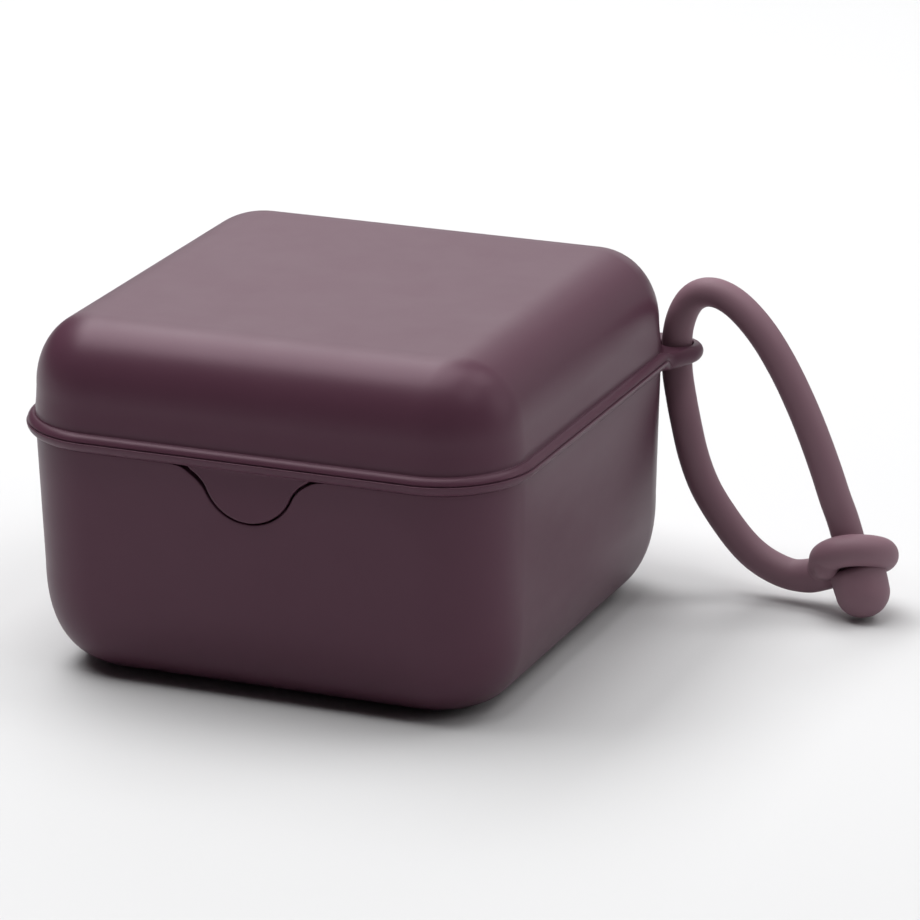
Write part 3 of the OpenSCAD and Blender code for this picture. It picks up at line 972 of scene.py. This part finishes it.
# steam holes, all cut at once
hv, hf = [], []
for i in range(-5, 6):
    for j in range(-5, 6):
        if i == 0 or j == 0 or (abs(i) == 5 and abs(j) == 5):
            continue
        cx, cy = i * 6.6 - math.copysign(1.2, i), j * 6.6 - math.copysign(1.2, j)
        if abs(abs(cx) - 24) < 4.9 and abs(abs(cy) - 24) < 4.9 and math.hypot(abs(cx) - 24, abs(cy) - 24) < 5.3:
            continue
        pr = [(2.25, 12.0), (2.25, 13.38), (1.9, 13.75), (1.9, 14.65), (2.25, 15.02), (2.25, 16.5)]
        v, f = revolve(pr, (cx, cy, 0), "Z", 28)
        hf += [tuple(q + len(hv) for q in face) for face in f]
        hv += [tuple(p) for p in v]
boolean(tray, add_mesh("holes", hv, hf), "DIFFERENCE")
split_ngons(tray)
finish_mesh(tray)

for piece, node, body, slot in ((base, "base_shell", "base", "case"), (lid, "lid_shell", "lid", "case"), (tray, "insert_tray", "insert", "tray")):
    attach(piece, body)
    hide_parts(node)

# ------------------------------------------------------------------ materials


def new_material(name):
    m = bpy.data.materials.new(name)
    m.use_nodes = True
    nt = m.node_tree
    nt.nodes.clear()
    out = nt.nodes.new("ShaderNodeOutputMaterial")
    b = nt.nodes.new("ShaderNodeBsdfPrincipled")
    nt.links.new(b.outputs["BSDF"], out.inputs["Surface"])
    tc = nt.nodes.new("ShaderNodeTexCoord")
    return m, nt, b, tc


def noise(nt, tc, scale, detail=2.0, rough=0.5, stretch=None):
    n = nt.nodes.new("ShaderNodeTexNoise")
    n.inputs["Scale"].default_value = scale
    n.inputs["Detail"].default_value = detail
    n.inputs["Roughness"].default_value = rough
    src = tc.outputs["Object"]
    if stretch:
        mp = nt.nodes.new("ShaderNodeMapping")
        mp.inputs["Scale"].default_value = stretch
        nt.links.new(src, mp.inputs["Vector"])
        src = mp.outputs["Vector"]
    nt.links.new(src, n.inputs["Vector"])
    return n


def spread(nt, src, lo, hi, a=0.3, b=0.7):
    m = nt.nodes.new("ShaderNodeMapRange")
    m.inputs["From Min"].default_value = a
    m.inputs["From Max"].default_value = b
    m.inputs["To Min"].default_value = lo
    m.inputs["To Max"].default_value = hi
    nt.links.new(src, m.inputs["Value"])
    return m.outputs["Result"]


def tint(nt, src, c0, c1):
    r = nt.nodes.new("ShaderNodeValToRGB")
    r.color_ramp.elements[0].position = 0.3
    r.color_ramp.elements[1].position = 0.7
    r.color_ramp.elements[0].color = (*c0, 1)
    r.color_ramp.elements[1].color = (*c1, 1)
    nt.links.new(src, r.inputs["Fac"])
    return r.outputs["Color"]


def moulded(name, c0, c1, r0, r1, ior_level, grain=0.02, wave=0.03):
    """Satin moulded plastic: faint mottling, fine spark-eroded grain, and the slow waviness of a thick moulding."""
    m, nt, b, tc = new_material(name)
    mottle = noise(nt, tc, 95, 3, 0.55)
    nt.links.new(tint(nt, mottle.outputs["Fac"], c0, c1), b.inputs["Base Color"])
    gloss = noise(nt, tc, 60, 4, 0.6, (1, 1, 2.2))
    nt.links.new(spread(nt, gloss.outputs["Fac"], r0, r1), b.inputs["Roughness"])
    b.inputs["IOR"].default_value = 1.49
    b.inputs["Specular IOR Level"].default_value = ior_level
    fine = noise(nt, tc, 2600, 2, 0.6)
    slow = noise(nt, tc, 42, 2, 0.5)
    b1 = nt.nodes.new("ShaderNodeBump")
    b1.inputs["Strength"].default_value = grain
    b1.inputs["Distance"].default_value = 0.0002
    nt.links.new(fine.outputs["Fac"], b1.inputs["Height"])
    b2 = nt.nodes.new("ShaderNodeBump")
    b2.inputs["Strength"].default_value = wave
    b2.inputs["Distance"].default_value = 0.002
    nt.links.new(slow.outputs["Fac"], b2.inputs["Height"])
    nt.links.new(b1.outputs["Normal"], b2.inputs["Normal"])
    nt.links.new(b2.outputs["Normal"], b.inputs["Normal"])
    return m


case_mat = moulded("plum_satin_plastic", (0.0845, 0.0324, 0.0524), (0.0872, 0.0336, 0.0543), 0.37, 0.42, 0.345, grain=0.02, wave=0.008)
tray_mat = moulded("tray_plastic", (0.195, 0.111, 0.146), (0.204, 0.117, 0.153), 0.36, 0.46, 0.42, grain=0.02, wave=0.008)
strap_mat = moulded("plum_silicone", (0.210, 0.118, 0.148), (0.217, 0.124, 0.153), 0.51, 0.58, 0.26, grain=0.05, wave=0.01)
case_mat.node_tree.nodes["Principled BSDF"].inputs["Specular Tint"].default_value = (1.0, 0.76, 0.87, 1)

for o in (base, lid):
    o.data.materials.clear()
    o.data.materials.append(case_mat)
tray.data.materials.clear()
tray.data.materials.append(tray_mat)
for o in (strap_top, strap_low, strap_ring, strap_ball):
    o.data.materials.clear()
    o.data.materials.append(strap_mat)

# ------------------------------------------------------------------ floor, light

me = bpy.data.meshes.new("floor")
S = 12.0
me.from_pydata([(-S, -S, -0.0003), (S, -S, -0.0003), (S, S, -0.0003), (-S, S, -0.0003)], [], [(0, 1, 2, 3)])
floor = bpy.data.objects.new("floor", me)
scene.collection.objects.link(floor)
fm, nt, b, tc = new_material("pale_floor")
b.inputs["Base Color"].default_value = (0.675, 0.675, 0.68, 1)
b.inputs["Roughness"].default_value = 0.9
b.inputs["Specular IOR Level"].default_value = 0.1
me.materials.append(fm)

world = bpy.data.worlds.new("studio")
scene.world = world
world.use_nodes = True
wn = world.node_tree
bg = wn.nodes["Background"]
bg.inputs["Color"].default_value = (0.92, 0.93, 0.95, 1)
bg.inputs["Strength"].default_value = 0.02


def softbox(name, at, look, size, size_y, radiance, color=(1, 1, 1)):
    """A rectangular soft light, set by how bright its face looks (white card in full light = 1)."""
    d = bpy.data.lights.new(name, "AREA")
    d.shape = "RECTANGLE"
    d.size, d.size_y = size, size_y
    d.energy = radiance * size * size_y * math.pi
    d.color = color
    o = bpy.data.objects.new(name, d)
    scene.collection.objects.link(o)
    o.location = at
    z = (Vector(at) - Vector(look)).normalized()
    y = Vector((0, 1, 0)) if abs(z.z) > 0.6 else Vector((0, 0, 1))
    x = y.cross(z).normalized()
    y = z.cross(x)
    o.matrix_world = Matrix([[x[k], y[k], z[k], at[k]] for k in range(3)] + [[0, 0, 0, 1]])
    return o


softbox("key_overhead", (-0.55, 0.20, 1.05), (0.0, 0.03, 0.0), 0.50, 1.24, 6.33)
softbox("key_rear", (-0.45, 1.10, 1.00), (0.0, 0.03, 0.0), 0.60, 0.40, 2.26)
softbox("fill_overhead", (0.0, 0.02, 1.05), (0.0, 0.03, 0.0), 0.50, 0.88, 3.95)
softbox("right_overhead", (0.60, 0.45, 1.05), (0.0, 0.03, 0.0), 0.50, 0.65, 3.16)
softbox("right_front_overhead", (0.75, -0.25, 1.0), (0.05, 0.02, 0.02), 0.50, 0.50, 2.03)
softbox("backdrop", (-0.48, 1.60, 0.60), (0.0, 0.0, 0.06), 1.45, 1.0, 1.0)
softbox("backdrop_right", (0.90, 1.50, 0.60), (0.0, 0.0, 0.06), 1.2, 1.0, 0.55)
softbox("side_right", (1.22, 0.45, 0.50), (0.0, 0.0, 0.03), 0.7, 0.7, 1.53)

scene.view_settings.view_transform = "Standard"
scene.view_settings.look = "None"
scene.view_settings.exposure = 0.0
scene.view_settings.gamma = 1.0
